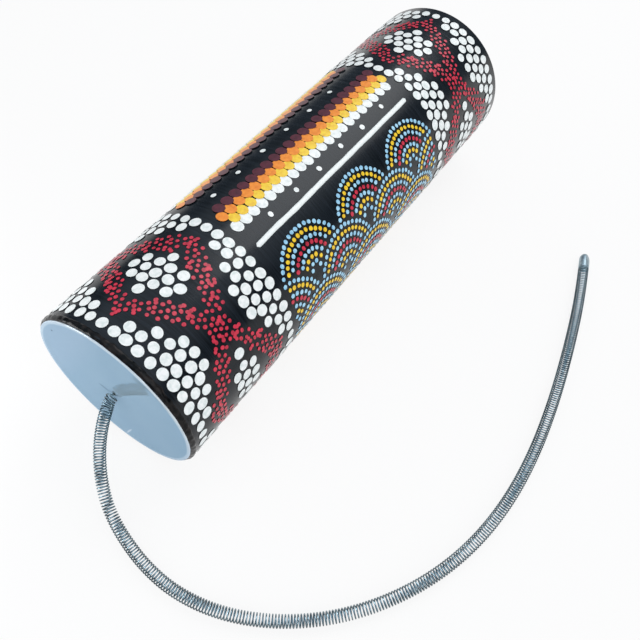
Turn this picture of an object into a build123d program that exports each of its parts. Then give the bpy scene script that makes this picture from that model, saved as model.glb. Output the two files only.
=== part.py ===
from build123d import *
import math
import os

# Thunder tube lying on a table: a stiff plastic pipe, closed at one end by a glued drumhead film,
# with a long wire spring hung from the middle of the film. The other end of the pipe is open.
# Millimetres. +X runs along the pipe from the film to the open end, +Z is up, and the origin is on
# the table under the middle of the pipe.

# Pipe
overall_length = 197.0
pipe_diameter = 60.0
pipe_wall = 2.0
rim_chamfer = 0.4

# Drumhead film and the glue line under it
film_thickness = 0.5
film_edge = 0.2
film_setback = 0.7
head_dip = 0.25
dip_width = 0.6
glue_thickness = 0.3
glue_setback = 0.25

# Anchor behind the film: a loose countersunk washer, and a stop bead on the spring's leg
washer_diameter = 12.0
washer_thickness = 1.2
washer_edge = 0.25
countersink_angle = 45.0
bead_diameter = 3.0
leg_tail = 0.8
swing_angle = 12.0

# Spring
wire_diameter = 0.5
wire_sides = 3
coil_diameter = 4.0
coil_turns = 48
lead_turns = 1.25
leg_stand_off = 0.6
leg_bend_radius = 1.2
leg_bend_angle = 45.0

# Closed tip on the spring's free end
tip_diameter = 4.0
tip_length = 7.5
tip_socket_depth = 2.5
tip_edge = 0.3

# Clearances
washer_clearance = 0.1
bead_clearance = 0.1
wire_clearance = 0.05
swing_clearance = 0.15
table_clearance = 0.05

# Stations along the pipe and radii
pipe_radius = pipe_diameter / 2
bore_radius = pipe_radius - pipe_wall
rim_radius = pipe_radius - rim_chamfer
film_radius = pipe_radius - film_setback
open_end = overall_length / 2
film_face = -overall_length / 2
film_back = film_face + film_thickness
pipe_start = film_back + glue_thickness
head_face = film_face + head_dip
head_back = film_back + head_dip
washer_front = head_back + washer_clearance
pivot_x = washer_front + washer_thickness
wire_radius = wire_diameter / 2
wire_hole_radius = wire_radius + wire_clearance
coil_radius = (coil_diameter - wire_diameter) / 2
lie_height = coil_diameter / 2 + table_clearance

# The leg leaves the film square, bends down, and the coil begins where the bend ends.
bend = math.radians(leg_bend_angle)
leg_out = Vector(head_face - leg_stand_off, 0, pipe_radius)
coil_start = leg_out + Vector(-math.sin(bend), 0, math.cos(bend) - 1) * leg_bend_radius

# Route of the coil's centre line after its start: distance from the film's face, Y and height.
# It droops to the table beyond the film, then lies on it in one wide open curve beside the pipe.
route_after_start = [
    (-6.3, 0.1, 24.3),
    (-11.2, -1.2, 18.6),
    (-15.9, -3.9, 12.8),
    (-20.1, -7.9, 7.8),
    (-23.6, -13.2, 4.2),
    (-26.6, -21.2, 2.4),
    (-29.2, -32.0, lie_height),
    (-29.9, -44.5, lie_height),
    (-27.2, -58.5, lie_height),
    (-20.8, -72.3, lie_height),
    (-11.2, -85.0, lie_height),
    (1.2, -95.8, lie_height),
    (15.8, -104.3, lie_height),
    (32.2, -109.9, lie_height),
    (50.4, -112.5, lie_height),
    (69.8, -112.3, lie_height),
    (90.0, -110.0, lie_height),
    (110.4, -106.4, lie_height),
    (130.4, -102.1, lie_height),
    (145.4, -98.2, lie_height),
    (155.6, -95.1, lie_height),
]

# An arc at a route point takes this share of the shorter of its two runs.
arc_share = 0.45

# Points per turn at which the coil's least gap to itself is measured
gap_samples = 12


def turned(profile):
    """Solid of revolution about the pipe's axis, from its (x, radius) corners."""
    face = make_face(Polyline(*profile, close=True))
    return Pos(0, 0, pipe_radius) * revolve(face, Axis.X, 360)


def axial_hole(x_from, x_to, radius):
    """Round cutter about the pipe's axis between two stations."""
    return turned([(x_from, 0), (x_to, 0), (x_to, radius), (x_from, radius)])


def make_tube():
    """Pipe cut square, with its outer edges broken at both ends and its bore's edge at the open end."""
    return turned(
        [
            (pipe_start, bore_radius),
            (open_end - rim_chamfer, bore_radius),
            (open_end, bore_radius + rim_chamfer),
            (open_end, rim_radius),
            (open_end - rim_chamfer, pipe_radius),
            (pipe_start + rim_chamfer, pipe_radius),
            (pipe_start, rim_radius),
        ]
    )


def make_glue_ring():
    """Line of glue on the pipe's end, which shows as a thin ring round the film."""
    return turned(
        [
            (film_back, bore_radius + glue_setback),
            (pipe_start, bore_radius + glue_setback),
            (pipe_start, rim_radius),
            (film_back, rim_radius),
        ]
    )


def lean_hole_radius(station):
    """Radius that lets the leg lean to its full swing where it passes a station in front of the pivot."""
    lean = math.radians(swing_angle)
    return (pivot_x - station) * math.tan(lean) + wire_radius / math.cos(lean) + swing_clearance


def make_film():
    """Film trimmed just inside the pipe's edge: a ring on the pipe's end and a stretched head within it.

    The hole in the middle lets the leg lean.
    """
    hole_radius = lean_hole_radius(head_face)
    dip_radius = bore_radius - dip_width
    return turned(
        [
            (head_face, hole_radius),
            (head_back, hole_radius),
            (head_back, dip_radius),
            (film_back, bore_radius),
            (film_back, film_radius),
            (film_face + film_edge, film_radius),
            (film_face, film_radius - film_edge),
            (film_face, bore_radius),
            (head_face, dip_radius),
        ]
    )


def make_washer():
    """Loose disc whose countersink seats the bead, which leans and turns there like a ball in a cup."""
    outer = washer_diameter / 2
    disc = turned(
        [
            (washer_front, 0),
            (pivot_x, 0),
            (pivot_x, outer - washer_edge),
            (pivot_x - washer_edge, outer),
            (washer_front + washer_edge, outer),
            (washer_front, outer - washer_edge),
        ]
    )
    slope = math.radians(countersink_angle)
    seat_depth = (bead_diameter / 2 + bead_clearance) / math.sin(slope)
    seat_radius = seat_depth * math.tan(slope)
    seat = turned([(pivot_x, 0), (pivot_x, seat_radius), (pivot_x - seat_depth, 0)])
    return disc - seat - axial_hole(washer_front, pivot_x, lean_hole_radius(washer_front))


def make_bead():
    """Ball crimped on the leg, bored for the wire."""
    radius = bead_diameter / 2
    ball = Pos(pivot_x, 0, pipe_radius) * Sphere(radius)
    return ball - axial_hole(pivot_x - bead_diameter, pivot_x + bead_diameter, wire_hole_radius)


def route_points():
    """Points of the coil's centre line, from the end of the leg's bend to the tip."""
    return [coil_start] + [Vector(film_face + x, y, z) for x, y, z in route_after_start]


def route_wire():
    """Straight runs joined by tangent arcs, each as large as its two runs allow."""
    points = route_points()
    radii = []
    for before, corner, after in zip(points, points[1:], points[2:]):
        run_in = corner - before
        run_out = after - corner
        turn = math.radians(run_in.get_angle(run_out))
        radii.append(arc_share * min(run_in.length, run_out.length) / math.tan(turn / 2))
    print("route arc radii:", [round(radius, 1) for radius in radii])
    return FilletPolyline(*points, radius=radii).wire()


def coil_point(route, length, pitch, along):
    """Point of the coil at a distance along its centre line; the coil opens and closes at its ends."""
    centre = route.position_at(along, position_mode=PositionMode.LENGTH)
    heading = route.tangent_at(along, position_mode=PositionMode.LENGTH)
    side = heading.cross(Vector(0, 0, 1)).normalized()
    top = side.cross(heading)
    share = min(along, length - along) / (lead_turns * pitch)
    share = min(max(share, 0), 1)
    radius = coil_radius * share * share * (3 - 2 * share)
    angle = 2 * math.pi * along / pitch
    return centre + side * (radius * math.cos(angle)) + top * (radius * math.sin(angle))


def biarc(start, heading, end, end_heading):
    """Two arcs that meet in a common tangent and join two points with given headings."""
    span = end - start
    sum_heading = heading + end_heading
    turn = 2 * (1 - heading.dot(end_heading))
    along = span.dot(sum_heading)
    reach = (math.sqrt(along * along + turn * span.dot(span)) - along) / turn
    first_corner = start + heading * reach
    second_corner = end - end_heading * reach
    middle = (first_corner + second_corner) * 0.5
    middle_heading = (second_corner - first_corner).normalized()
    return [
        Edge.make_tangent_arc(start, heading, middle),
        Edge.make_tangent_arc(middle, middle_heading, end),
    ]


def least_gap(points):
    """Least distance between points of the coil half a turn to three turns apart, less the wire."""
    near = gap_samples // 2
    far = 3 * gap_samples
    places = [tuple(point) for point in points]
    least = min(
        math.dist(place, other)
        for i, place in enumerate(places)
        for other in places[i + near : i + far]
    )
    return least - wire_diameter


def make_spring(route):
    """One wire: tail in the bead, leg through washer and film, bend, coil, and end in the tip."""
    length = route.length
    pitch = length / coil_turns
    half_turns = 2 * coil_turns
    step = length / half_turns
    nudge = step / 100

    knots = [coil_point(route, length, pitch, i * step) for i in range(half_turns + 1)]
    headings = [Vector(-math.cos(bend), 0, -math.sin(bend))]
    for i in range(1, half_turns):
        ahead = coil_point(route, length, pitch, i * step + nudge)
        behind = coil_point(route, length, pitch, i * step - nudge)
        headings.append((ahead - behind).normalized())
    headings.append(route.tangent_at(1))

    tail = Vector(pivot_x + bead_diameter / 2 + leg_tail, 0, pipe_radius)
    socket_end = knots[-1] + headings[-1] * (tip_socket_depth - wire_diameter)
    edges = [
        Edge.make_line(tail, leg_out),
        Edge.make_tangent_arc(leg_out, Vector(-1, 0, 0), coil_start),
    ]
    for i in range(half_turns):
        edges += biarc(knots[i], headings[i], knots[i + 1], headings[i + 1])
    edges.append(Edge.make_line(knots[-1], socket_end))
    path = Wire(edges)

    sample_step = pitch / gap_samples
    samples = [coil_point(route, length, pitch, i * sample_step) for i in range(gap_samples * coil_turns)]
    print("coil length:", round(length, 1), "pitch:", round(pitch, 2))
    print("least gap of the coil to itself:", round(least_gap(samples), 2))

    section = Plane(tail, x_dir=(0, 0, 1), z_dir=(-1, 0, 0)) * RegularPolygon(wire_radius, wire_sides)
    spring = sweep(section, path=path, clean=False)
    wire_volume = section.area * path.length
    print("spring volume:", round(spring.volume, 2), "section times length:", round(wire_volume, 2))
    return spring


def make_tip(route):
    """Closed cap of the coil's diameter with a round nose, on the free end of the wire."""
    radius = tip_diameter / 2
    back = tip_length - radius
    half = Polyline((0, tip_length), (0, 0), (radius - tip_edge, 0), (radius, tip_edge), (radius, back))
    nose = CenterArc((0, back), radius, 0, 90)
    cap = revolve(Plane.XZ * make_face(half + nose), Axis.Z, 360)
    socket = Pos(0, 0, tip_socket_depth / 2) * Cylinder(wire_hole_radius, tip_socket_depth)
    seat = Plane(route.position_at(1), z_dir=route.tangent_at(1))
    return seat.location * (cap - socket)


def main():
    route = route_wire()
    nodes = {
        "tube": make_tube(),
        "head_glue_ring": make_glue_ring(),
        "head_film": make_film(),
        "anchor_washer": make_washer(),
        "anchor_bead": make_bead(),
        "spring": make_spring(route),
        "spring_tip": make_tip(route),
    }
    os.makedirs("parts", exist_ok=True)
    for name, solid in nodes.items():
        export_step(solid, f"parts/{name}.step")


main()
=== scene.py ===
import math
import random
import bmesh
import bpy
from mathutils import Matrix, Vector, noise


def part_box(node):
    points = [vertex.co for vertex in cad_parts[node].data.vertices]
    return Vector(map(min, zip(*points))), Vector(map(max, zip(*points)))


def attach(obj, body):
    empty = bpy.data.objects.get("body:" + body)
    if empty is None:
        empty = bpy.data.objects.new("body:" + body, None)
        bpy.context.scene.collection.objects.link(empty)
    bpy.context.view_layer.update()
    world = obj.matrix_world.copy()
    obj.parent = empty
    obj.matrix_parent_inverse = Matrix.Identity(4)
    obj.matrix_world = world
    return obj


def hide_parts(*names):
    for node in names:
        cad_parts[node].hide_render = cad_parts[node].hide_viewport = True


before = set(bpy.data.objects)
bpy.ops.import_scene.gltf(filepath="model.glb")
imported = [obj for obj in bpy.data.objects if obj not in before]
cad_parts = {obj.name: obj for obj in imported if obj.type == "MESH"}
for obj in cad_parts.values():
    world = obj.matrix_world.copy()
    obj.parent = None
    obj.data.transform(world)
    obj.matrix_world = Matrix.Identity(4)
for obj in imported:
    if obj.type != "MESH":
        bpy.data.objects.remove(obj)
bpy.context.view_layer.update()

# Thunder tube: a painted pipe with a film head at one end and a long coil spring hung from the head.
# Metres. The pipe lies along X with its film at the low end, and rests on the table at height 0.
mm = 0.001
tubeLow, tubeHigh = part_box("tube")
filmLow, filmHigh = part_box("head_film")
pipeRadius = (tubeHigh.z - tubeLow.z) / 2
axisHeight = (tubeHigh.z + tubeLow.z) / 2
pipeStart = tubeLow.x
openEnd = tubeHigh.x
filmFace = filmLow.x
filmRadius = (filmHigh.z - filmLow.z) / 2
pipeLength = openEnd - filmFace
pipeAxis = Vector((0, 0, axisHeight))
sink = 0.03 * mm  # how far the foot of a drop or bead goes into what is under it
mergeDistance = 0.001 * mm
nearEnough = 0.01 * mm  # places closer than this count as the same
sharpAngle = math.radians(40)
print("pipe radius and length:", round(pipeRadius / mm, 2), round(pipeLength / mm, 2))


# Helpers for materials and pieces

def linearColour(hexText):
    channels = [int(hexText[i:i + 2], 16) / 255 for i in (1, 3, 5)]
    linear = [c / 12.92 if c <= 0.04045 else ((c + 0.055) / 1.055) ** 2.4 for c in channels]
    return (*linear, 1.0)


def perSize(size):
    return 1 / size  # pattern scale for a feature of this real size, on object coordinates in metres


def addNode(tree, kind, inputs=None, **settings):
    node = tree.nodes.new(kind)
    for name, value in settings.items():
        setattr(node, name, value)
    for name, value in (inputs or {}).items():
        if isinstance(value, bpy.types.NodeSocket):
            tree.links.new(value, node.inputs[name])
        else:
            node.inputs[name].default_value = value
    return node


def startMaterial(name):
    material = bpy.data.materials.new(name)
    material.use_nodes = True
    tree = material.node_tree
    tree.nodes.clear()
    return material, tree


def endMaterial(tree, shader):
    addNode(tree, "ShaderNodeOutputMaterial", {"Surface": shader.outputs[0]})


def addPiece(name, mesh, materials, body, replaced=()):
    mesh.name = name
    mesh.shade_smooth()
    mesh.set_sharp_from_angle(angle=sharpAngle)
    for material in materials:
        mesh.materials.append(material)
    piece = bpy.data.objects.new(name, mesh)
    bpy.context.scene.collection.objects.link(piece)
    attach(piece, body)
    if replaced:
        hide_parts(*replaced)
    print(name, "faces:", len(mesh.polygons))
    return piece


def meshFrom(bm, name):
    mesh = bpy.data.meshes.new(name)
    bm.to_mesh(mesh)
    bm.free()
    return mesh


def drawProfile(bm, points):
    verts = [bm.verts.new((x, 0, axisHeight + radius)) for x, radius in points]
    for pair in zip(verts, verts[1:] + verts[:1]):
        bm.edges.new(pair)


def spinRoundPipe(bm, steps):
    geom = bm.verts[:] + bm.edges[:]
    turn = 2 * math.pi
    bmesh.ops.spin(bm, geom=geom, cent=pipeAxis, axis=(1, 0, 0), angle=turn, steps=steps, use_merge=True)
    bmesh.ops.remove_doubles(bm, verts=bm.verts, dist=mergeDistance)
    bmesh.ops.recalc_face_normals(bm, faces=bm.faces)


def radiusOf(point):
    return math.hypot(point.y, point.z - axisHeight)


def onRing(point, x, radius):
    return abs(point.x - x) < nearEnough and abs(radiusOf(point) - radius) < nearEnough


# Camera at the photograph's viewing angle

cameraSetup = {
    "place": (-0.1531, -0.1125, 0.2117),
    "aim": (-0.0218, -0.0225, 0.0),
    "lens": 39.375,
    "sensor": 36.0,
    "nearest": 0.01,
}


def addCamera():
    data = bpy.data.cameras.new("photoCamera")
    data.lens = cameraSetup["lens"]
    data.sensor_width = cameraSetup["sensor"]
    data.clip_start = cameraSetup["nearest"]
    camera = bpy.data.objects.new("photoCamera", data)
    place = Vector(cameraSetup["place"])
    camera.location = place
    camera.rotation_euler = (Vector(cameraSetup["aim"]) - place).to_track_quat("-Z", "Y").to_euler()
    bpy.context.scene.collection.objects.link(camera)
    bpy.context.scene.camera = camera


addCamera()
print("camera placed")


# Spring steel wire: drawn, oiled and blued by use, grey metal in patches. Painted light: the top of the
# wire is painted brighter and its flanks darker, by how far each point faces up.

def springSteel():
    material, tree = startMaterial("springSteel")
    place = addNode(tree, "ShaderNodeTexCoord").outputs["Object"]
    patches = addNode(tree, "ShaderNodeTexNoise", {
        "Vector": place, "Scale": perSize(spring["patch"]), "Detail": 4.0,
    }).outputs["Fac"]
    upward = addNode(tree, "ShaderNodeAttribute", attribute_name="upward").outputs["Fac"]
    oiled, bare = spring["patchTones"]
    patchTone = addNode(tree, "ShaderNodeMapRange", {"Value": patches, "To Min": oiled, "To Max": bare})
    # Painted light: the top of the wire is painted brighter, its flanks darker
    paintedTopLight = addNode(tree, "ShaderNodeMath", {
        0: upward, 1: spring["paintedTopShare"], 2: patchTone.outputs["Result"],
    }, operation="MULTIPLY_ADD")
    tone = addNode(tree, "ShaderNodeValToRGB", {"Fac": paintedTopLight.outputs["Value"]})
    tone.color_ramp.elements[0].position = 0.5
    tone.color_ramp.elements[0].color = linearColour("#20313B")
    tone.color_ramp.elements[1].position = 0.95
    tone.color_ramp.elements[1].color = linearColour("#9CB5BF")
    smooth, rough = spring["roughness"]
    dull = addNode(tree, "ShaderNodeMapRange", {"Value": patches, "To Min": smooth, "To Max": rough})
    shader = addNode(tree, "ShaderNodeBsdfPrincipled", {
        "Base Color": tone.outputs["Color"],
        "Metallic": 1.0,
        "Roughness": dull.outputs["Result"],
    })
    endMaterial(tree, shader)
    return material


spring = {
    "wire": 0.42 * mm,
    "coil": 4.0 * mm,
    "pitch": 0.92 * mm,
    "leg": 4.4 * mm,
    "openingTurns": 0.4,  # the wire spirals out just off the film
    "openingRise": 0.46 * mm,  # room for the spring to lean over
    "seatTurns": 7.0,  # the turns lean over from the film to the route
    "pointsPerTurn": 20,
    "routeSteps": 24,
    "lie": 2.05 * mm,  # height of the coil's middle where it lies on the table
    "exit": 0.25 * mm,  # behind the film's face
    "patch": 6 * mm,
    "patchTones": (0.3, 0.7),
    "paintedTopShare": 0.45,  # how much brighter the top of the wire is painted, as painted light
    "roughness": (0.22, 0.38),
}
lie = spring["lie"]
# Distance from the film's face, Y and height. The first two points are the wire's straight leg, which
# comes through the film from its stop bead.
springRoute = [
    (0.0042, 0.0, 0.0300),
    (-0.0012, 0.0, 0.0300),
    (-0.0024, 0.0, 0.0290),
    (-0.0063, 0.0001, 0.0243),
    (-0.0112, -0.0012, 0.0186),
    (-0.0159, -0.0039, 0.0128),
    (-0.0201, -0.0079, 0.0078),
    (-0.0236, -0.0132, 0.0042),
    (-0.0266, -0.0212, 0.0024),
    (-0.0292, -0.0320, lie),
    (-0.0299, -0.0445, lie),
    (-0.0272, -0.0585, lie),
    (-0.0208, -0.0723, lie),
    (-0.0112, -0.0850, lie),
    (0.0012, -0.0958, lie),
    (0.0158, -0.1043, lie),
    (0.0322, -0.1099, lie),
    (0.0504, -0.1125, lie),
    (0.0698, -0.1123, lie),
    (0.0900, -0.1100, lie),
    (0.1104, -0.1064, lie),
    (0.1304, -0.1021, lie),
    (0.1454, -0.0982, lie),
    (0.1556, -0.0951, lie),
]


def routeLine():
    curve = bpy.data.curves.new("springRoute", "CURVE")
    curve.dimensions = "3D"
    curve.resolution_u = spring["routeSteps"]
    spline = curve.splines.new("NURBS")
    spline.points.add(len(springRoute) - 1)
    for point, (along, y, z) in zip(spline.points, springRoute):
        point.co = (filmFace + along, y, z, 1)
    spline.order_u = 3
    spline.use_endpoint_u = True
    holder = bpy.data.objects.new("springRoute", curve)
    mesh = bpy.data.meshes.new_from_object(holder)
    line = [vertex.co.copy() for vertex in mesh.vertices]
    bpy.data.objects.remove(holder)
    bpy.data.meshes.remove(mesh)
    return line


def coilPoints(line):
    reach = [0.0]
    for before, after in zip(line, line[1:]):
        reach.append(reach[-1] + (after - before).length)
    total = reach[-1]
    radius = (spring["coil"] - spring["wire"]) / 2
    step = spring["pitch"] / spring["pointsPerTurn"]
    flatSteps = spring["openingTurns"] * spring["pointsPerTurn"]
    seatSteps = spring["seatTurns"] * spring["pointsPerTurn"]
    count = int((total - spring["leg"] - spring["openingRise"]) / step + flatSteps)
    points = [line[0], line[0].lerp(line[1], 0.5)]
    outOfFilm = Vector((-1, 0, 0))
    side = Vector((0, 0, 1))
    i = 0
    for k in range(count + 1):
        risen = max(k - flatSteps, 0.0)
        opened = min(k / flatSteps, 1.0)
        along = spring["leg"] + spring["openingRise"] * opened + risen * step
        while i < len(line) - 2 and reach[i + 1] < along:
            i += 1
        heading = (line[i + 1] - line[i]).normalized()
        centre = line[i] + heading * (along - reach[i])
        heading = outOfFilm.lerp(heading, min(risen / seatSteps, 1.0)).normalized()
        side = (side - heading * side.dot(heading)).normalized()
        across = heading.cross(side)
        swell = radius * opened * opened * (3 - 2 * opened)
        angle = 2 * math.pi * k / spring["pointsPerTurn"]
        points.append(centre + side * (swell * math.cos(angle)) + across * (swell * math.sin(angle)))
    return points


def addSpring(line):
    points = coilPoints(line)
    curve = bpy.data.curves.new("coilWire", "CURVE")
    curve.dimensions = "3D"
    curve.bevel_depth = spring["wire"] / 2
    curve.bevel_resolution = 2
    curve.use_fill_caps = True
    spline = curve.splines.new("POLY")
    spline.points.add(len(points) - 1)
    for point, place in zip(spline.points, points):
        point.co = (*place, 1)
    holder = bpy.data.objects.new("coilWire", curve)
    mesh = bpy.data.meshes.new_from_object(holder)
    bpy.data.objects.remove(holder)
    # Painted light: the wire's upper side is painted brighter, so each point keeps how far it faces up
    upward = mesh.attributes.new("upward", "FLOAT", "POINT")
    upward.data.foreach_set("value", [vertex.normal.z for vertex in mesh.vertices])
    return addPiece("coilSpring", mesh, [springSteel()], "spring", ["spring"])


# Nickel-plated ferrule crimped on the spring's end: bright metal, hazed by handling

def platedFerrule():
    material, tree = startMaterial("nickelPlate")
    place = addNode(tree, "ShaderNodeTexCoord").outputs["Object"]
    haze = addNode(tree, "ShaderNodeTexNoise", {"Vector": place, "Scale": perSize(1.5 * mm), "Detail": 3.0})
    tone = addNode(tree, "ShaderNodeValToRGB", {"Fac": haze.outputs["Fac"]})
    tone.color_ramp.elements[0].position = 0.3
    tone.color_ramp.elements[0].color = linearColour("#8C9EA6")
    tone.color_ramp.elements[1].position = 0.7
    tone.color_ramp.elements[1].color = linearColour("#B2C3C9")
    smooth, rough = tip["roughness"]
    dull = addNode(tree, "ShaderNodeMapRange", {
        "Value": haze.outputs["Fac"], "To Min": smooth, "To Max": rough,
    })
    shader = addNode(tree, "ShaderNodeBsdfPrincipled", {
        "Base Color": tone.outputs["Color"],
        "Metallic": 1.0,
        "Roughness": dull.outputs["Result"],
    })
    endMaterial(tree, shader)
    return material


tip = {
    "length": 7.5 * mm,
    "radius": 2.0 * mm,
    "neck": 1.85 * mm,
    "collar": 0.6 * mm,
    "noseStart": 4.9 * mm,
    "noseSteps": 8,
    "sides": 40,
    "flatWay": (0.72, 0.66, 0.14),  # the pressed flat faces sideways, up and a little forward
    "flatDepth": 0.62 * mm,
    "roughness": (0.36, 0.5),
}


def addTip(line):
    bm = bmesh.new()
    nose = tip["length"] - tip["noseStart"]
    profile = [
        (0.0, 0.0),
        (tip["neck"], 0.0),
        (tip["radius"], tip["collar"] / 2),
        (tip["radius"], tip["collar"]),
    ]
    for k in range(tip["noseSteps"] + 1):
        angle = math.pi / 2 * k / tip["noseSteps"]
        profile.append((tip["radius"] * math.cos(angle), tip["noseStart"] + nose * math.sin(angle)))
    verts = [bm.verts.new((radius, 0, z)) for radius, z in profile]
    for pair in zip(verts, verts[1:]):
        bm.edges.new(pair)
    geom = bm.verts[:] + bm.edges[:]
    bmesh.ops.spin(
        bm, geom=geom, cent=(0, 0, 0), axis=(0, 0, 1), angle=2 * math.pi, steps=tip["sides"], use_merge=True
    )
    bmesh.ops.remove_doubles(bm, verts=bm.verts, dist=mergeDistance)
    bmesh.ops.recalc_face_normals(bm, faces=bm.faces)
    heading = (line[-1] - line[-2]).normalized()
    seat = Matrix.Translation(line[-1]) @ heading.to_track_quat("Z", "Y").to_matrix().to_4x4()
    bmesh.ops.transform(bm, matrix=seat, verts=bm.verts)
    sideways, upward, forward = tip["flatWay"]
    up = Vector((0, 0, 1))
    way = (heading.cross(up) * sideways + up * upward + heading * forward).normalized()
    place = line[-1] + heading * tip["noseStart"] + way * (tip["radius"] - tip["flatDepth"])
    geom = bm.verts[:] + bm.edges[:] + bm.faces[:]
    bmesh.ops.bisect_plane(bm, geom=geom, plane_co=place, plane_no=way, clear_outer=True)
    bmesh.ops.holes_fill(bm, edges=bm.edges)
    bmesh.ops.recalc_face_normals(bm, faces=bm.faces)
    mesh = meshFrom(bm, "springTip")
    return addPiece("springTip", mesh, [platedFerrule()], "spring", ["spring_tip"])


line = routeLine()
coilSpring = addSpring(line)
springTip = addTip(line)


# Drumhead film: calendered polyester sheet, blue-grey and a little cloudy. It mirrors like a thin metal
# coat, bluer at a slant, and one side is painted paler, as painted light. It is paler in a ring where it
# is glued to the pipe's end, and the trimmed edge is scuffed white, but brown low down, where the glue ran.

def polyesterFilm():
    material, tree = startMaterial("polyesterFilm")
    place = addNode(tree, "ShaderNodeTexCoord").outputs["Object"]
    cloud = addNode(tree, "ShaderNodeTexNoise", {"Vector": place, "Scale": perSize(40 * mm), "Detail": 2.0})
    head = addNode(tree, "ShaderNodeValToRGB", {"Fac": cloud.outputs["Fac"]})
    head.color_ramp.elements[0].position = 0.3
    head.color_ramp.elements[0].color = linearColour("#96AEBB")
    head.color_ramp.elements[1].position = 0.7
    head.color_ramp.elements[1].color = linearColour("#A2B8C3")
    # Painted light: one side of the film is painted paler, past a soft edge
    towardsPaleSide = addNode(tree, "ShaderNodeVectorMath", {
        0: place, 1: film["paintedLightWay"],
    }, operation="DOT_PRODUCT").outputs["Value"]
    paintedPaleSide = addNode(tree, "ShaderNodeMapRange", {
        "Value": towardsPaleSide, "From Min": film["paintedLightStart"], "From Max": film["paintedLightEnd"],
    })
    field = addNode(tree, "ShaderNodeMix", {
        0: paintedPaleSide.outputs["Result"], 6: head.outputs["Color"], 7: linearColour("#A6B9C5"),
    }, data_type="RGBA")
    fromAxis = addNode(tree, "ShaderNodeVectorMath", {0: place, 1: (0, 1, 1)}, operation="MULTIPLY")
    offset = addNode(tree, "ShaderNodeVectorMath", {
        0: fromAxis.outputs[0], 1: pipeAxis,
    }, operation="DISTANCE").outputs["Value"]
    fringe = addNode(tree, "ShaderNodeTexNoise", {"Vector": place, "Scale": perSize(5 * mm), "Detail": 3.0})
    uneven = addNode(tree, "ShaderNodeMath", {
        0: fringe.outputs["Fac"], 1: film["ringUneven"], 2: offset,
    }, operation="MULTIPLY_ADD")
    # A paler ring where the film is glued to the pipe's end, with an uneven inner edge
    ringInner = pipeRadius - film["ringWidth"] + film["ringUneven"] / 2
    glued = addNode(tree, "ShaderNodeMapRange", {
        "Value": uneven.outputs["Value"], "From Min": ringInner, "From Max": ringInner + film["ringBlur"],
    })
    scuffStart, scuffEnd = film["scuff"]
    scuff = addNode(tree, "ShaderNodeMapRange", {
        "Value": offset, "From Min": filmRadius - scuffStart, "From Max": filmRadius - scuffEnd,
    })
    ringed = addNode(tree, "ShaderNodeMix", {
        0: glued.outputs["Result"], 6: field.outputs[2], 7: linearColour("#C8D5DA"),
    }, data_type="RGBA")
    height = addNode(tree, "ShaderNodeSeparateXYZ", {"Vector": place}).outputs["Z"]
    stained = addNode(tree, "ShaderNodeMapRange", {
        "Value": height, "From Min": film["stainTop"], "From Max": film["stainFull"],
    })
    rim = addNode(tree, "ShaderNodeMix", {
        0: stained.outputs["Result"], 6: linearColour("#DCE6EC"), 7: linearColour("#8F8078"),
    }, data_type="RGBA")
    edged = addNode(tree, "ShaderNodeMix", {
        0: scuff.outputs["Result"], 6: ringed.outputs[2], 7: rim.outputs[2],
    }, data_type="RGBA")
    colour = edged.outputs[2]
    for mark in filmMarks.values():
        inMark = addNode(tree, "ShaderNodeMapping", {
            "Vector": place, "Location": mark["place"], "Rotation": mark["turn"], "Scale": mark["size"],
        }, vector_type="TEXTURE")
        away = addNode(tree, "ShaderNodeVectorMath", {0: inMark.outputs["Vector"]}, operation="LENGTH")
        share = addNode(tree, "ShaderNodeMapRange", {
            "Value": away.outputs["Value"], "From Min": 1.0, "From Max": 0.5, "To Max": mark["strength"],
        })
        colour = addNode(tree, "ShaderNodeMix", {
            0: share.outputs["Result"], 6: colour, 7: linearColour(mark["hex"]),
        }, data_type="RGBA").outputs[2]
    ripple = addNode(tree, "ShaderNodeTexNoise", {"Vector": place, "Scale": perSize(9 * mm), "Detail": 1.0})
    relief = addNode(tree, "ShaderNodeBump", {
        "Height": ripple.outputs["Fac"],
        "Strength": 0.15,
        "Distance": 0.03 * mm,
    })
    shader = addNode(tree, "ShaderNodeBsdfPrincipled", {
        "Base Color": colour,
        "Metallic": 0.38,
        "Roughness": 0.04,
        "IOR": 1.57,
        "Specular IOR Level": 0.0,
        "Specular Tint": linearColour("#BCDAFF"),
        "Normal": relief.outputs["Normal"],
    })
    endMaterial(tree, shader)
    return material


film = {
    "thickness": 0.5 * mm,
    "dip": 0.1 * mm,
    "ringWidth": 2.0 * mm,
    "slopeWidth": 3.0 * mm,
    "slopeSteps": 10,
    "hole": 0.79 * mm,
    "edgeRound": 0.2 * mm,
    "flatMargin": 0.35 * mm,
    "ringUneven": 0.5 * mm,
    "ringBlur": 0.5 * mm,
    "scuff": (0.3 * mm, 0.1 * mm),  # in from the trimmed edge
    "stainTop": 18 * mm,  # heights between which the glue's stain grows
    "stainFull": 6 * mm,
    "paintedLightWay": (0, 0.8, 0.6),  # towards the side painted paler as painted light, past a soft edge
    "paintedLightStart": 29.0 * mm,
    "paintedLightEnd": 36.5 * mm,
    "sides": 192,
}
# Each mark is a soft ellipse on the film, turned about X. Its sizes are half its depth, length and width.
filmMarks = {
    "paintSpeck": {
        "place": (filmFace, 0.0193, 0.0476),
        "turn": (0, 0, 0),
        "size": (0.4 * mm, 0.4 * mm, 0.4 * mm),
        "strength": 1.0,
        "hex": "#1E262C",
    },
    "paleScratch": {
        "place": (filmFace, 0.0012, 0.0054),
        "turn": (math.radians(122), 0, 0),
        "size": (1.0 * mm, 4.6 * mm, 0.45 * mm),
        "strength": 0.55,
        "hex": "#EEF2F4",
    },
    # A darker soft mark beside the spring's hole
    "darkMarkByHole": {
        "place": (filmFace, 0.0042, 0.0301),
        "turn": (math.radians(10), 0, 0),
        "size": (1.0 * mm, 2.6 * mm, 1.0 * mm),
        "strength": 0.35,
        "hex": "#4A5E6A",
    },
}


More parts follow.
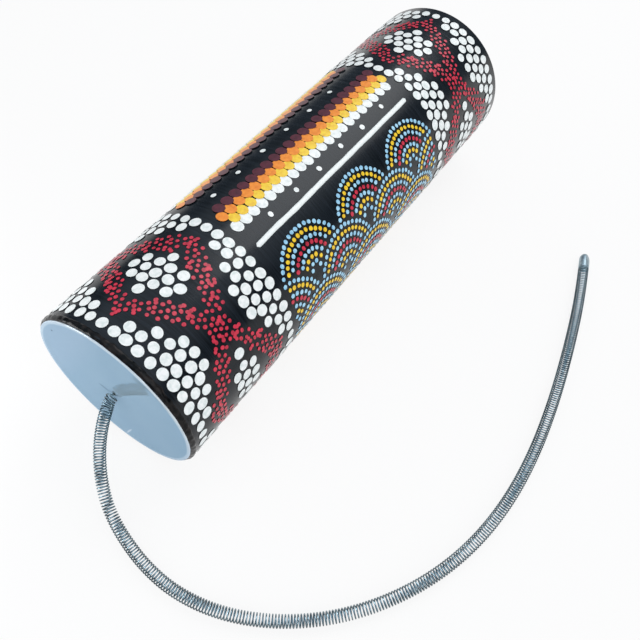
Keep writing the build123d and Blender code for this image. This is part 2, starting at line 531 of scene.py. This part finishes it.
def addFilm():
    bm = bmesh.new()
    ringInner = pipeRadius - film["ringWidth"]
    slopeInner = ringInner - film["slopeWidth"]
    headFace = filmFace + film["dip"]
    paleness = film["thickness"]
    profile = [
        (headFace, film["hole"]),
        (headFace, film["hole"] + film["flatMargin"]),
        (headFace, slopeInner - film["flatMargin"]),
    ]
    for k in range(film["slopeSteps"] + 1):
        share = k / film["slopeSteps"]
        rise = film["dip"] * share * share * (3 - 2 * share)
        profile.append((headFace - rise, slopeInner + film["slopeWidth"] * share))
    profile += [
        (filmFace, filmRadius),
        (filmFace + paleness, filmRadius),
        (filmFace + paleness, ringInner),
        (headFace + paleness, slopeInner),
        (headFace + paleness, film["hole"]),
    ]
    drawProfile(bm, profile)
    spinRoundPipe(bm, film["sides"])
    edge = [e for e in bm.edges if all(onRing(v.co, filmFace, filmRadius) for v in e.verts)]
    bmesh.ops.bevel(
        bm, geom=edge, offset=film["edgeRound"], segments=3, profile=0.5, affect="EDGES", material=-1
    )
    mesh = meshFrom(bm, "drumFilm")
    return addPiece("drumFilm", mesh, [polyesterFilm()], "drum", ["head_film"])


addFilm()


# Contact glue squeezed out round the film's edge: nearly black, shiny and lumpy

def contactGlue():
    material, tree = startMaterial("contactGlue")
    place = addNode(tree, "ShaderNodeTexCoord").outputs["Object"]
    smear = addNode(tree, "ShaderNodeTexNoise", {
        "Vector": place, "Scale": perSize(2.5 * mm), "Detail": 3.0,
    })
    tone = addNode(tree, "ShaderNodeValToRGB", {"Fac": smear.outputs["Fac"]})
    tone.color_ramp.elements[0].position = 0.45
    tone.color_ramp.elements[0].color = linearColour("#090B0C")
    tone.color_ramp.elements[1].position = 0.75
    tone.color_ramp.elements[1].color = linearColour("#2B2624")
    strings = addNode(tree, "ShaderNodeTexNoise", {
        "Vector": place, "Scale": perSize(0.7 * mm), "Detail": 2.0,
    })
    relief = addNode(tree, "ShaderNodeBump", {
        "Height": strings.outputs["Fac"],
        "Strength": 0.5,
        "Distance": 0.1 * mm,
    })
    shader = addNode(tree, "ShaderNodeBsdfPrincipled", {
        "Base Color": tone.outputs["Color"],
        "Roughness": 0.16,
        "IOR": 1.5,
        "Specular IOR Level": 0.14,
        "Normal": relief.outputs["Normal"],
    })
    endMaterial(tree, shader)
    return material


glue = {
    "start": 0.3 * mm,  # behind the film's face
    "end": 1.9 * mm,
    "tuck": 0.2 * mm,  # how far the bead reaches under the film's edge
    "rise": 0.2 * mm,
    "lip": 0.4 * mm,
    "root": 0.4 * mm,
    "lumpSize": 1.6 * mm,
    "lumpRise": 0.22 * mm,
    "lumpSpread": 0.4 * mm,
    "spreadPart": (7, 3, 5),  # another part of the noise, so that lumps rise and spread apart
    "arcSteps": 7,
    "sides": 320,
}


def addGlue():
    bm = bmesh.new()
    first = filmFace + glue["start"]
    last = filmFace + glue["end"]
    low = filmRadius - glue["tuck"]
    high = pipeRadius + glue["rise"]
    profile = [(first, low - glue["root"])]
    for k in range(glue["arcSteps"] + 1):
        angle = math.pi / 2 * k / glue["arcSteps"]
        profile.append((last - (last - first) * math.cos(angle), low + (high - low) * math.sin(angle)))
    profile.append((last + glue["lip"], pipeRadius - sink))
    profile.append((last + glue["lip"], pipeRadius - glue["root"]))
    drawProfile(bm, profile)
    spinRoundPipe(bm, glue["sides"])
    for vert in bm.verts:
        out = Vector((0, vert.co.y, vert.co.z - axisHeight))
        share = min(max((out.length - low) / (high - low), 0.0), 1.0)
        lump = noise.noise(vert.co / glue["lumpSize"])
        spread = noise.noise(vert.co / glue["lumpSize"] + Vector(glue["spreadPart"]))
        vert.co += out.normalized() * share * lump * glue["lumpRise"]
        vert.co.x += share * spread * glue["lumpSpread"]
    mesh = meshFrom(bm, "glueLine")
    return addPiece("glueLine", mesh, [contactGlue()], "drum", ["head_glue_ring"])


addGlue()


# Black acrylic brushed on round the pipe and varnished: fine strokes, some of them greyer and duller

def blackAcrylic():
    material, tree = startMaterial("blackAcrylic")
    place = addNode(tree, "ShaderNodeTexCoord").outputs["Object"]
    acrossStroke = perSize(tube["strokeWidth"])
    alongStroke = perSize(tube["strokeLength"])
    alongRound = addNode(tree, "ShaderNodeMapping", {
        "Vector": place, "Scale": (acrossStroke, alongStroke, alongStroke),
    })
    strokes = addNode(tree, "ShaderNodeTexNoise", {
        "Vector": alongRound.outputs["Vector"], "Scale": 1.0, "Detail": 4.0, "Roughness": 0.6,
    })
    tone = addNode(tree, "ShaderNodeValToRGB", {"Fac": strokes.outputs["Fac"]})
    tone.color_ramp.elements[0].position = 0.35
    tone.color_ramp.elements[0].color = linearColour("#0A0F13")
    tone.color_ramp.elements[1].position = 0.75
    tone.color_ramp.elements[1].color = linearColour("#1B2229")
    smooth, rough = tube["paintRoughness"]
    dull = addNode(tree, "ShaderNodeMapRange", {
        "Value": strokes.outputs["Fac"], "To Min": smooth, "To Max": rough,
    })
    relief = addNode(tree, "ShaderNodeBump", {
        "Height": strokes.outputs["Fac"],
        "Strength": 0.35,
        "Distance": 0.06 * mm,
    })
    shader = addNode(tree, "ShaderNodeBsdfPrincipled", {
        "Base Color": tone.outputs["Color"],
        "Roughness": dull.outputs["Result"],
        "IOR": 1.49,
        "Specular IOR Level": 0.32,
        "Normal": relief.outputs["Normal"],
    })
    endMaterial(tree, shader)
    return material


# Rigid PVC pipe, extruded: off-white with faint draw lines along the bore

def pipeVinyl():
    material, tree = startMaterial("rigidPvc")
    place = addNode(tree, "ShaderNodeTexCoord").outputs["Object"]
    alongDraw = perSize(tube["drawLength"])
    acrossDraw = perSize(tube["drawWidth"])
    drawn = addNode(tree, "ShaderNodeMapping", {
        "Vector": place, "Scale": (alongDraw, acrossDraw, acrossDraw),
    })
    lines = addNode(tree, "ShaderNodeTexNoise", {
        "Vector": drawn.outputs["Vector"], "Scale": 1.0, "Detail": 2.0,
    })
    tone = addNode(tree, "ShaderNodeValToRGB", {"Fac": lines.outputs["Fac"]})
    tone.color_ramp.elements[0].color = linearColour("#C9C8C0")
    tone.color_ramp.elements[1].color = linearColour("#E2E1DA")
    relief = addNode(tree, "ShaderNodeBump", {
        "Height": lines.outputs["Fac"],
        "Strength": 0.3,
        "Distance": 0.04 * mm,
    })
    shader = addNode(tree, "ShaderNodeBsdfPrincipled", {
        "Base Color": tone.outputs["Color"],
        "Roughness": 0.4,
        "IOR": 1.53,
        "Normal": relief.outputs["Normal"],
    })
    endMaterial(tree, shader)
    return material


tube = {
    "wall": 2.0 * mm,
    "rimRound": 0.5 * mm,
    "sides": 192,
    "strokeWidth": 0.7 * mm,
    "strokeLength": 14 * mm,
    "paintRoughness": (0.1, 0.3),
    "drawWidth": 1.2 * mm,
    "drawLength": 60 * mm,
}


def addTube():
    bm = bmesh.new()
    bore = pipeRadius - tube["wall"]
    wall = [(pipeStart, bore), (openEnd, bore), (openEnd, pipeRadius), (pipeStart, pipeRadius)]
    drawProfile(bm, wall)
    spinRoundPipe(bm, tube["sides"])
    rims = ((openEnd, bore), (openEnd, pipeRadius), (pipeStart, pipeRadius))
    loops = [e for e in bm.edges if any(all(onRing(v.co, *rim) for v in e.verts) for rim in rims)]
    bmesh.ops.bevel(
        bm, geom=loops, offset=tube["rimRound"], segments=4, profile=0.5, affect="EDGES", material=-1
    )
    inside = bore + nearEnough
    for face in bm.faces:
        if all(radiusOf(v.co) < inside for v in face.verts):
            face.material_index = 1
    mesh = meshFrom(bm, "paintedTube")
    return addPiece("paintedTube", mesh, [blackAcrylic(), pipeVinyl()], "drum", ["tube"])


addTube()


# Acrylic paint dots: set down wet from a stick end, so each dries as a low glossy drop, painted a
# little paler towards its top. The crown attribute runs from 0 at a drop's edge to 1 at its top.

dotPaint = {
    "mottle": 1.4 * mm,
    "mottleTones": (-0.75, 0.5),
    "edgeTone": 0.42,
    "squash": (0.92, 1.08),
    "size": (0.92, 1.07),
    "height": (0.85, 1.15),
}


def dotAcrylic(name, edgeHex, topHex):
    material, tree = startMaterial(name)
    place = addNode(tree, "ShaderNodeTexCoord").outputs["Object"]
    crown = addNode(tree, "ShaderNodeAttribute", attribute_name="crown").outputs["Fac"]
    mottle = addNode(tree, "ShaderNodeTexNoise", {
        "Vector": place, "Scale": perSize(dotPaint["mottle"]), "Detail": 3.0,
    })
    thinnest, thickest = dotPaint["mottleTones"]
    offset = addNode(tree, "ShaderNodeMapRange", {
        "Value": mottle.outputs["Fac"], "To Min": thinnest, "To Max": thickest,
    })
    paleness = addNode(tree, "ShaderNodeMath", {0: crown, 1: offset.outputs["Result"]}, operation="ADD")
    tone = addNode(tree, "ShaderNodeValToRGB", {"Fac": paleness.outputs["Value"]})
    tone.color_ramp.elements[0].position = dotPaint["edgeTone"]
    tone.color_ramp.elements[0].color = linearColour(edgeHex)
    tone.color_ramp.elements[1].position = 1.0
    tone.color_ramp.elements[1].color = linearColour(topHex)
    relief = addNode(tree, "ShaderNodeBump", {
        "Height": mottle.outputs["Fac"],
        "Strength": 0.3,
        "Distance": 0.05 * mm,
    })
    shader = addNode(tree, "ShaderNodeBsdfPrincipled", {
        "Base Color": tone.outputs["Color"],
        "Roughness": 0.32,
        "IOR": 1.49,
        "Normal": relief.outputs["Normal"],
    })
    endMaterial(tree, shader)
    return material


# Flat layout of the ornament, then wrapped round the pipe: u along the pipe from the film's face,
# s round it from the top towards -Y.

halfTurn = math.pi * pipeRadius


def wrapRoundPipe(bm):
    for vert in bm.verts:
        u, s, height = vert.co
        angle = s / pipeRadius
        radius = pipeRadius + height - sink
        vert.co = (filmFace + u, -radius * math.sin(angle), axisHeight + radius * math.cos(angle))


def paintDrop(sides, shoulders):
    bm = bmesh.new()
    bmesh.ops.create_circle(bm, cap_ends=True, segments=sides, radius=1.0)
    bm.faces.ensure_lookup_table()
    top = bm.faces[0]
    top.normal_update()
    if top.normal.z < 0:
        bmesh.ops.reverse_faces(bm, faces=[top])
    for inward, lift in shoulders:
        bmesh.ops.inset_region(bm, faces=[top], thickness=inward, depth=lift, use_even_offset=True)
    bmesh.ops.poke(bm, faces=[top])
    bmesh.ops.holes_fill(bm, edges=bm.edges)
    bmesh.ops.recalc_face_normals(bm, faces=bm.faces)
    crown = bm.verts.layers.float.new("crown")
    highest = max(vert.co.z for vert in bm.verts)
    for vert in bm.verts:
        vert[crown] = vert.co.z / highest
        vert.co.z /= highest
    return meshFrom(bm, "paintDrop")


# Each step of a drop's shoulder: how far in, as a share of its radius, and how far up in proportion
largeDrop = paintDrop(16, [(0.07, 0.6), (0.25, 0.3)])
smallDrop = paintDrop(10, [(0.12, 0.55), (0.3, 0.35)])


def addDots(name, drop, dots, material):
    bm = bmesh.new()
    count = len(drop.vertices)
    for u, s, wide, deep, turn, height in dots:
        bm.from_mesh(drop)
        bm.verts.ensure_lookup_table()
        place = (
            Matrix.Translation((u, s, 0))
            @ Matrix.Rotation(turn, 4, "Z")
            @ Matrix.Diagonal((wide, deep, height, 1))
        )
        for vert in bm.verts[-count:]:
            vert.co = place @ vert.co
    wrapRoundPipe(bm)
    addPiece(name, meshFrom(bm, name), [material], "drum")


def handDot(rng, u, s, radius, height, stray):
    squash = rng.uniform(*dotPaint["squash"])
    size = radius * rng.uniform(*dotPaint["size"])
    return (
        u + rng.uniform(-stray, stray),
        s + rng.uniform(-stray, stray),
        size * squash,
        size / squash,
        rng.uniform(0, math.pi),
        height * rng.uniform(*dotPaint["height"]),
    )


# End fields: rows of large white dots round a chain of red lozenges, the same at both ends

endField = {
    "firstRow": 5.2 * mm,
    "lastRow": 48.8 * mm,
    "rows": 13,
    "dotsPerRow": 43,
    "dotRadius": 1.78 * mm,
    "dotHeight": 0.24 * mm,
    "dotStray": 0.24 * mm,
    "lozenges": 4,
    "lozengeReach": 14.6 * mm,
    "redHalfWidth": 3.7 * mm,
    "redSpacing": 2.1 * mm,
    "redRadius": 0.66 * mm,
    "redHeight": 0.2 * mm,
    "redStray": 0.4 * mm,
    "pairShare": 0.14,
    "pairGap": 0.95 * mm,
    "clear": 0.35 * mm,
}


def lozengeDistance(u, s):
    halfWide = halfTurn / endField["lozenges"]
    across = abs((s + halfWide) % (2 * halfWide) - halfWide)
    middle = (endField["firstRow"] + endField["lastRow"]) / 2
    reach = endField["lozengeReach"]
    along = abs(u - middle)
    return abs(along * halfWide + across * reach - reach * halfWide) / math.hypot(halfWide, reach)


def endFieldDots(rng):
    whites = []
    reds = []
    rowGap = (endField["lastRow"] - endField["firstRow"]) / (endField["rows"] - 1)
    dotGap = 2 * halfTurn / endField["dotsPerRow"]
    keepOff = endField["redHalfWidth"] + endField["dotRadius"] + endField["clear"]
    for row in range(endField["rows"]):
        u = endField["firstRow"] + row * rowGap
        for k in range(endField["dotsPerRow"]):
            s = (k + 0.5 * (row % 2)) * dotGap
            edgeRow = row in (0, endField["rows"] - 1)
            if edgeRow or lozengeDistance(u, s) > keepOff:
                whites.append((u, s))
    redGap = endField["redSpacing"]
    redRow = redGap * math.sin(math.pi / 3)
    perTurn = round(2 * halfTurn / redGap)
    rows = int((endField["lastRow"] - endField["firstRow"]) / redRow)
    for row in range(rows):
        u = endField["firstRow"] + row * redRow
        for k in range(perTurn):
            s = (k + 0.5 * (row % 2)) * 2 * halfTurn / perTurn
            if lozengeDistance(u, s) < endField["redHalfWidth"] - endField["redRadius"]:
                reds.append((u, s))
    whiteDots = []
    redDots = []
    for mirrored in (False, True):
        for u, s in whites:
            u = pipeLength - u if mirrored else u
            whiteDots.append(
                handDot(rng, u, s, endField["dotRadius"], endField["dotHeight"], endField["dotStray"])
            )
        for u, s in reds:
            u = pipeLength - u if mirrored else u
            dot = handDot(rng, u, s, endField["redRadius"], endField["redHeight"], endField["redStray"])
            redDots.append(dot)
            if rng.random() < endField["pairShare"]:
                way = rng.uniform(0, 2 * math.pi)
                u2 = dot[0] + endField["pairGap"] * math.cos(way)
                s2 = dot[1] + endField["pairGap"] * math.sin(way)
                redDots.append(handDot(rng, u2, s2, endField["redRadius"], endField["redHeight"], 0))
    return whiteDots, redDots


# Middle: straight bands of overlapping dots from white to maroon, a white line, and scallops of small
# dots. The same twice round the pipe.

bands = {
    "start": 53.0 * mm,
    "end": 144.0 * mm,
    "whiteEdges": ((-23.0 * mm, 1), (7.0 * mm, -1)),  # each white row, and which way the others follow
    "rowGap": 2.95 * mm,
    "dotGap": 4.1 * mm,
    "dotWide": 1.95 * mm,
    "dotDeep": 2.15 * mm,
    "heights": (0.16 * mm, 0.25 * mm, 0.33 * mm, 0.41 * mm),  # each row overlaps the one before
    "stray": 0.15 * mm,
    "grow": (0.94, 1.06),
    "lean": 0.25,  # radians
    "leanStray": 0.2,
    "heightStray": (0.95, 1.05),
}


def bandDots(rng):
    rows = [[], [], [], []]
    count = int((bands["end"] - bands["start"]) / bands["dotGap"])
    for half in range(2):
        for edge, way in bands["whiteEdges"]:
            for row, height in enumerate(bands["heights"]):
                s = half * halfTurn + edge + way * row * bands["rowGap"]
                for k in range(count):
                    u = bands["start"] + (k + 0.5 + 0.5 * (row % 2)) * bands["dotGap"]
                    grow = rng.uniform(*bands["grow"])
                    rows[row].append((
                        u + rng.uniform(-1, 1) * bands["stray"],
                        s + rng.uniform(-1, 1) * bands["stray"],
                        bands["dotWide"] * grow,
                        bands["dotDeep"] * grow,
                        rng.uniform(-1, 1) * bands["leanStray"] + bands["lean"] * way,
                        height * rng.uniform(*bands["heightStray"]),
                    ))
    return rows


whiteLine = {
    "start": 54.0 * mm,
    "end": 143.0 * mm,
    "s": 15.6 * mm,
    "halfWidth": 0.9 * mm,
    "height": 0.26 * mm,
    "waver": 0.35 * mm,
    "waverSize": 14 * mm,
    "swell": 0.12,
    "swellSize": 4 * mm,
    "steps": 120,
    "across": 8,
    "narrowest": 0.02,  # share of the width that is left at an end
    "spotRadius": 1.0 * mm,
    "spotHeight": 0.22 * mm,
    "spotRows": (-8.0 * mm, 11.6 * mm),
    "spotGap": 13.0 * mm,
    "spotStart": 0.6,  # shares of the gap
    "spotShift": 0.35,
    "spotStray": 0.4 * mm,
}


def addWhiteLines(material):
    bm = bmesh.new()
    crown = bm.verts.layers.float.new("crown")
    length = whiteLine["end"] - whiteLine["start"]
    for half in range(2):
        place = Matrix.Translation(((whiteLine["start"] + whiteLine["end"]) / 2, 0, 0))
        place = place @ Matrix.Diagonal((length / 2, 1, 1, 1))
        made = bmesh.ops.create_grid(
            bm, x_segments=whiteLine["steps"], y_segments=whiteLine["across"], size=1.0, matrix=place
        )
        for vert in made["verts"]:
            u, side, _ = vert.co
            toEnd = min(u - whiteLine["start"], whiteLine["end"] - u)
            endShare = min(max(toEnd / whiteLine["halfWidth"], 0.0), 1.0)
            width = whiteLine["halfWidth"] * max(math.sqrt(1 - (1 - endShare) ** 2), whiteLine["narrowest"])
            waver = noise.noise(Vector((u / whiteLine["waverSize"], half * 5.0, 0)))
            swell = noise.noise(Vector((u / whiteLine["swellSize"], half * 7.0, 3.0)))
            width *= 1 + whiteLine["swell"] * swell
            vert[crown] = 1 - side * side
            vert.co.y = whiteLine["s"] + half * halfTurn + waver * whiteLine["waver"] + side * width
            vert.co.z = whiteLine["height"] * math.sqrt(max(1 - side ** 4, 0)) * math.sqrt(endShare)
    bmesh.ops.solidify(bm, geom=bm.faces[:], thickness=sink)
    bmesh.ops.recalc_face_normals(bm, faces=bm.faces)
    wrapRoundPipe(bm)
    addPiece("whiteLines", meshFrom(bm, "whiteLines"), [material], "drum")


def spotDots(rng):
    spots = []
    count = int((whiteLine["end"] - whiteLine["start"]) / whiteLine["spotGap"])
    for half in range(2):
        for row, s in enumerate(whiteLine["spotRows"]):
            for k in range(count):
                share = k + whiteLine["spotStart"] + whiteLine["spotShift"] * row
                u = whiteLine["start"] + share * whiteLine["spotGap"]
                spots.append(handDot(
                    rng, u, half * halfTurn + s,
                    whiteLine["spotRadius"], whiteLine["spotHeight"], whiteLine["spotStray"],
                ))
    return spots


scallops = {
    "start": 52.0 * mm,
    "end": 145.0 * mm,
    "top": 19.2 * mm,
    "bottom": 67.4 * mm,
    "perRow": 3,
    "rowGap": 11.0 * mm,
    "rows": 4,
    "arcGap": 2.1 * mm,
    "arcs": 7,
    "dotGap": 1.98 * mm,
    "dotRadius": 0.76 * mm,
    "dotHeight": 0.2 * mm,
    "stray": 0.16 * mm,
    "colours": ("blue", "yellow", "blue", "red"),
}


def scallopDots(rng):
    dots = {"blue": [], "yellow": [], "red": []}
    wide = (scallops["end"] - scallops["start"]) / scallops["perRow"]
    reach = wide / 2
    margin = scallops["dotRadius"]
    for half in range(2):
        for row in range(scallops["rows"]):
            centreS = scallops["top"] + reach + row * scallops["rowGap"]
            nextS = centreS + scallops["rowGap"]
            lastRow = row == scallops["rows"] - 1
            for k in range(scallops["perRow"] + row % 2):
                centreU = scallops["start"] + (k + 0.5 * (1 - row % 2)) * wide
                for arc in range(scallops["arcs"]):
                    radius = reach - margin - arc * scallops["arcGap"]
                    count = max(int(math.pi * radius / scallops["dotGap"]), 1)
                    for i in range(count + 1):
                        angle = math.pi * i / count
                        u = centreU + radius * math.cos(angle)
                        s = centreS - radius * math.sin(angle)
                        # Dots stop where a fan of the next row covers them
                        away = abs((u - centreU) % wide - reach)
                        covered = not lastRow and math.hypot(away, nextS - s) < reach + margin
                        outside = not scallops["start"] < u < scallops["end"] or s > scallops["bottom"]
                        if covered or outside:
                            continue
                        colour = scallops["colours"][arc % len(scallops["colours"])]
                        place = half * halfTurn + s
                        dots[colour].append(handDot(
                            rng, u, place,
                            scallops["dotRadius"], scallops["dotHeight"], scallops["stray"],
                        ))
    return dots


ornamentSeed = 11


def addOrnament():
    rng = random.Random(ornamentSeed)
    whitePaint = dotAcrylic("whiteAcrylic", "#D0DEDA", "#FCFFFD")
    redPaint = dotAcrylic("crimsonAcrylic", "#8C162B", "#DC324C")
    yellowPaint = dotAcrylic("yellowAcrylic", "#EAAE10", "#FFD930")
    orangePaint = dotAcrylic("orangeAcrylic", "#E27418", "#FF9C34")
    maroonPaint = dotAcrylic("maroonAcrylic", "#3A121C", "#5E2331")
    bluePaint = dotAcrylic("skyBlueAcrylic", "#5CA8D6", "#B0E1F8")
    whiteDots, redDots = endFieldDots(rng)
    addDots("whiteDots", largeDrop, whiteDots, whitePaint)
    addDots("redLozenges", smallDrop, redDots, redPaint)
    names = ("whiteBand", "yellowBand", "orangeBand", "maroonBand")
    paints = (whitePaint, yellowPaint, orangePaint, maroonPaint)
    for name, row, paint in zip(names, bandDots(rng), paints):
        addDots(name, largeDrop, row, paint)
    # The lines are drawn with a brush, so their white is more even
    addWhiteLines(dotAcrylic("brushedWhiteAcrylic", "#EDF4F1", "#FCFFFD"))
    addDots("whiteSpots", smallDrop, spotDots(rng), whitePaint)
    scallopPaints = {"blue": bluePaint, "yellow": yellowPaint, "red": redPaint}
    for colour, dots in scallopDots(rng).items():
        addDots(colour + "Scallops", smallDrop, dots, scallopPaints[colour])


addOrnament()
print("ornament painted")


# Anchor inside the pipe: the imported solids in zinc-plated steel and turned brass, softly bright and finely
# gritty

def anchorMetal(name, hexText, grit, smooth, rough):
    material, tree = startMaterial(name)
    place = addNode(tree, "ShaderNodeTexCoord").outputs["Object"]
    speckle = addNode(tree, "ShaderNodeTexNoise", {"Vector": place, "Scale": perSize(grit), "Detail": 3.0})
    dull = addNode(tree, "ShaderNodeMapRange", {
        "Value": speckle.outputs["Fac"], "To Min": smooth, "To Max": rough,
    })
    relief = addNode(tree, "ShaderNodeBump", {
        "Height": speckle.outputs["Fac"],
        "Strength": 0.2,
        "Distance": 0.02 * mm,
    })
    shader = addNode(tree, "ShaderNodeBsdfPrincipled", {
        "Base Color": linearColour(hexText),
        "Metallic": 1.0,
        "Roughness": dull.outputs["Result"],
        "Normal": relief.outputs["Normal"],
    })
    endMaterial(tree, shader)
    return material


anchorFinishes = {
    "anchor_washer": anchorMetal("zincPlatedSteel", "#B4B9BC", 0.8 * mm, 0.24, 0.4),
    "anchor_bead": anchorMetal("brass", "#C9A24C", 0.5 * mm, 0.21, 0.35),
}
for node, finish in anchorFinishes.items():
    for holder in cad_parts[node].material_slots:
        holder.material = finish


# White table and soft light: a large softbox above and behind, a weaker one in front on the right, a
# small one without shadow low on the left beside the film, and an even sky

stage = {
    "floorHeight": -0.45 * mm,
    "floorReach": 3.0,
    "floorHex": "#F2F2F2",
    "whiteShare": 0.86,
    "sky": 0.62,
    "skyHex": "#F4F8FF",
    # What mirrors see of the room, from the horizon upwards
    "roomTones": ((0.02, "#FFFFFF"), (0.12, "#5A6673"), (0.4, "#5A6673"), (0.75, "#DCEBFB")),
}
lamps = {
    "keyLamp": {
        "place": (0.7, -0.1, 0.95),
        "aim": (0, 0, 0),
        "size": 0.8,
        "power": 4.5,
        "shadow": True,
    },
    "fillLamp": {
        "place": (-0.5, -0.9, 0.6),
        "aim": (0, 0, 0.03),
        "size": 0.9,
        "power": 3.0,
        "shadow": True,
    },
    "filmLamp": {
        "place": (-0.2, 0.12, 0.08),
        "aim": (-0.1, 0.03, 0.03),
        "size": 0.08,
        "power": 0.12,
        "shadow": False,
    },
}


def seenDirectly(tree):
    rays = addNode(tree, "ShaderNodeLightPath")
    glossy = addNode(
        tree, "ShaderNodeMath",
        {0: rays.outputs["Is Camera Ray"], 1: rays.outputs["Is Glossy Ray"]}, operation="MAXIMUM",
    )
    every = addNode(
        tree, "ShaderNodeMath",
        {0: glossy.outputs["Value"], 1: rays.outputs["Is Transmission Ray"]}, operation="MAXIMUM",
    )
    return every.outputs["Value"]


def addFloor():
    bm = bmesh.new()
    bmesh.ops.create_grid(bm, x_segments=1, y_segments=1, size=stage["floorReach"])
    bmesh.ops.translate(bm, vec=(0, 0, stage["floorHeight"]), verts=bm.verts)
    floor = bpy.data.objects.new("tableTop", meshFrom(bm, "tableTop"))
    material, tree = startMaterial("whiteTable")
    matt = addNode(tree, "ShaderNodeBsdfDiffuse", {"Color": linearColour(stage["floorHex"])})
    white = addNode(tree, "ShaderNodeEmission", {"Color": (1, 1, 1, 1), "Strength": 1.0})
    share = addNode(tree, "ShaderNodeMath", {
        0: seenDirectly(tree), 1: stage["whiteShare"],
    }, operation="MULTIPLY")
    mixed = addNode(tree, "ShaderNodeMixShader", {
        0: share.outputs["Value"], 1: matt.outputs[0], 2: white.outputs[0],
    })
    endMaterial(tree, mixed)
    floor.data.materials.append(material)
    bpy.context.scene.collection.objects.link(floor)


def addSky():
    world = bpy.data.worlds.new("studioSky")
    world.use_nodes = True
    tree = world.node_tree
    tree.nodes.clear()
    way = addNode(tree, "ShaderNodeTexCoord").outputs["Generated"]
    height = addNode(tree, "ShaderNodeSeparateXYZ", {"Vector": way}).outputs["Z"]
    tones = addNode(tree, "ShaderNodeValToRGB", {"Fac": height})
    stops = tones.color_ramp.elements
    for k, (position, tone) in enumerate(stage["roomTones"]):
        stop = stops[k] if k == 0 else stops.new(position)
        stop.position = position
        stop.color = linearColour(tone)
    stops.remove(stops[-1])  # the stop that every new ramp has at its end
    room = addNode(tree, "ShaderNodeBackground", {"Color": tones.outputs["Color"], "Strength": 1.0})
    light = addNode(tree, "ShaderNodeBackground", {
        "Color": linearColour(stage["skyHex"]), "Strength": stage["sky"],
    })
    white = addNode(tree, "ShaderNodeBackground", {"Color": (1, 1, 1, 1), "Strength": 1.0})
    mirrored = addNode(tree, "ShaderNodeMixShader", {
        0: seenDirectly(tree), 1: light.outputs[0], 2: room.outputs[0],
    })
    seen = addNode(tree, "ShaderNodeLightPath").outputs["Is Camera Ray"]
    sky = addNode(tree, "ShaderNodeMixShader", {0: seen, 1: mirrored.outputs[0], 2: white.outputs[0]})
    addNode(tree, "ShaderNodeOutputWorld", {"Surface": sky.outputs[0]})
    bpy.context.scene.world = world


def addLamps():
    for name, lamp in lamps.items():
        data = bpy.data.lights.new(name, "AREA")
        data.size = lamp["size"]
        data.energy = lamp["power"]
        data.use_shadow = lamp["shadow"]
        holder = bpy.data.objects.new(name, data)
        holder.location = lamp["place"]
        way = Vector(lamp["aim"]) - Vector(lamp["place"])
        holder.rotation_euler = way.to_track_quat("-Z", "Y").to_euler()
        bpy.context.scene.collection.objects.link(holder)


addFloor()
addSky()
addLamps()
bpy.context.scene.view_settings.view_transform = "Standard"
print("stage lit")
